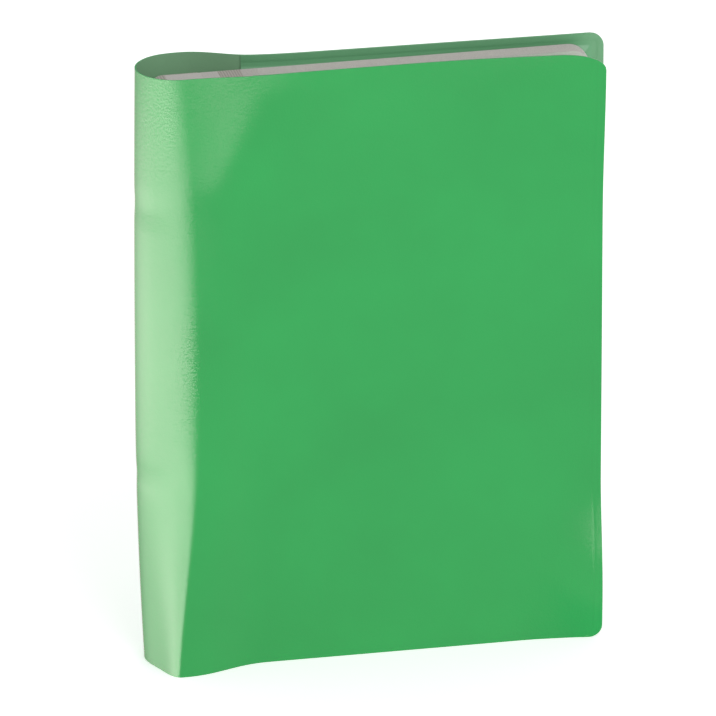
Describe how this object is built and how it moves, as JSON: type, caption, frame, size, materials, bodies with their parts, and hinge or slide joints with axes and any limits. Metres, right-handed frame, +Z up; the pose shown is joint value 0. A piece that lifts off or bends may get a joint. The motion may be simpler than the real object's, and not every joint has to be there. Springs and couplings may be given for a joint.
{
  "type": "stamp album",
  "caption": "Soft-cover stamp stock book standing closed: glossy film jacket with a round spine loop, welded inner pockets with boards, and hinged card leaves with clear strips.",
  "frame": {"origin": "middle of the footprint, on the surface that the album stands on", "axes": "+X from the spine to the fore-edge, +Y from the front cover to the back cover, +Z up"},
  "size_m": [0.1714, 0.0357, 0.225],
  "materials": {
    "jacket_film": "glossy soft vinyl",
    "pocket_film": "satin vinyl",
    "end_board": "grey board",
    "leaf_card": "matt white card",
    "strip_film": "clear film",
    "glassine": "glassine",
    "linen": "woven linen",
    "staple_wire": "plated wire"
  },
  "bodies": {
    "spine": {"spine_film": "jacket_film", "front_hinge_film": "jacket_film", "back_hinge_film": "jacket_film", "front_joint_strip": "linen", "back_joint_strip": "linen", "binding_guards": "leaf_card", "binding_tape": "linen", "binding_staples": "staple_wire"},
    "front_cover": {"front_cover_film": "jacket_film", "front_pocket_film": "pocket_film", "front_end_board": "end_board"},
    "back_cover": {"back_cover_film": "jacket_film", "back_pocket_film": "pocket_film", "back_end_board": "end_board"},
    "leaf_1": {"leaf_1_card": "leaf_card", "leaf_1_linen_hinge": "linen", "leaf_1_front_strips": "strip_film", "leaf_1_back_strips": "strip_film", "leaf_1_interleaf": "glassine"},
    "leaf_2": {"leaf_2_card": "leaf_card", "leaf_2_linen_hinge": "linen", "leaf_2_front_strips": "strip_film", "leaf_2_back_strips": "strip_film", "leaf_2_interleaf": "glassine"},
    "leaf_3": {"leaf_3_card": "leaf_card", "leaf_3_linen_hinge": "linen", "leaf_3_front_strips": "strip_film", "leaf_3_back_strips": "strip_film", "leaf_3_interleaf": "glassine"},
    "leaf_4": {"leaf_4_card": "leaf_card", "leaf_4_linen_hinge": "linen", "leaf_4_front_strips": "strip_film", "leaf_4_back_strips": "strip_film", "leaf_4_interleaf": "glassine"},
    "leaf_5": {"leaf_5_card": "leaf_card", "leaf_5_linen_hinge": "linen", "leaf_5_front_strips": "strip_film", "leaf_5_back_strips": "strip_film", "leaf_5_interleaf": "glassine"},
    "leaf_6": {"leaf_6_card": "leaf_card", "leaf_6_linen_hinge": "linen", "leaf_6_front_strips": "strip_film", "leaf_6_back_strips": "strip_film", "leaf_6_interleaf": "glassine"},
    "leaf_7": {"leaf_7_card": "leaf_card", "leaf_7_linen_hinge": "linen", "leaf_7_front_strips": "strip_film", "leaf_7_back_strips": "strip_film", "leaf_7_interleaf": "glassine"},
    "leaf_8": {"leaf_8_card": "leaf_card", "leaf_8_linen_hinge": "linen", "leaf_8_front_strips": "strip_film", "leaf_8_back_strips": "strip_film"}
  },
  "joints": [
    {"name": "front_cover_hinge", "type": "hinge", "parent": "spine", "child": "front_cover", "pos_m": [-0.05125, -0.00995, 0.1125], "axis": [0, 0, -1], "range_deg": [0, 150], "deforming": ["front_hinge_film", "front_joint_strip"]},
    {"name": "back_cover_hinge", "type": "hinge", "parent": "spine", "child": "back_cover", "pos_m": [-0.05125, 0.00995, 0.1125], "axis": [0, 0, 1], "range_deg": [0, 150], "deforming": ["back_hinge_film", "back_joint_strip"]},
    {"name": "leaf_1_hinge", "type": "hinge", "parent": "spine", "child": "leaf_1", "pos_m": [-0.05125, -0.00335, 0.1125], "axis": [0, 0, -1], "range_deg": [0, 91], "deforming": ["leaf_1_linen_hinge"]},
    {"name": "leaf_2_hinge", "type": "hinge", "parent": "spine", "child": "leaf_2", "pos_m": [-0.05125, -0.00235, 0.1125], "axis": [0, 0, -1], "range_deg": [0, 67], "deforming": ["leaf_2_linen_hinge"]},
    {"name": "leaf_3_hinge", "type": "hinge", "parent": "spine", "child": "leaf_3", "pos_m": [-0.05125, -0.00135, 0.1125], "axis": [0, 0, -1], "range_deg": [0, 43], "deforming": ["leaf_3_linen_hinge"]},
    {"name": "leaf_4_hinge", "type": "hinge", "parent": "spine", "child": "leaf_4", "pos_m": [-0.05125, -0.00035, 0.1125], "axis": [0, 0, -1], "range_deg": [0, 19], "deforming": ["leaf_4_linen_hinge"]},
    {"name": "leaf_5_hinge", "type": "hinge", "parent": "spine", "child": "leaf_5", "pos_m": [-0.05125, 0.00065, 0.1125], "axis": [0, 0, 1], "range_deg": [0, 19], "deforming": ["leaf_5_linen_hinge"]},
    {"name": "leaf_6_hinge", "type": "hinge", "parent": "spine", "child": "leaf_6", "pos_m": [-0.05125, 0.00165, 0.1125], "axis": [0, 0, 1], "range_deg": [0, 43], "deforming": ["leaf_6_linen_hinge"]},
    {"name": "leaf_7_hinge", "type": "hinge", "parent": "spine", "child": "leaf_7", "pos_m": [-0.05125, 0.00265, 0.1125], "axis": [0, 0, 1], "range_deg": [0, 67], "deforming": ["leaf_7_linen_hinge"]},
    {"name": "leaf_8_hinge", "type": "hinge", "parent": "spine", "child": "leaf_8", "pos_m": [-0.05125, 0.00365, 0.1125], "axis": [0, 0, 1], "range_deg": [0, 91], "deforming": ["leaf_8_linen_hinge"]}
  ],
  "couplings": [
    {"joint": "leaf_1_hinge", "follows": "front_cover_hinge", "ratio": 0.6},
    {"joint": "leaf_2_hinge", "follows": "front_cover_hinge", "ratio": 0.44},
    {"joint": "leaf_3_hinge", "follows": "front_cover_hinge", "ratio": 0.28},
    {"joint": "leaf_4_hinge", "follows": "front_cover_hinge", "ratio": 0.12},
    {"joint": "leaf_5_hinge", "follows": "back_cover_hinge", "ratio": 0.12},
    {"joint": "leaf_6_hinge", "follows": "back_cover_hinge", "ratio": 0.28},
    {"joint": "leaf_7_hinge", "follows": "back_cover_hinge", "ratio": 0.44},
    {"joint": "leaf_8_hinge", "follows": "back_cover_hinge", "ratio": 0.6}
  ]
}
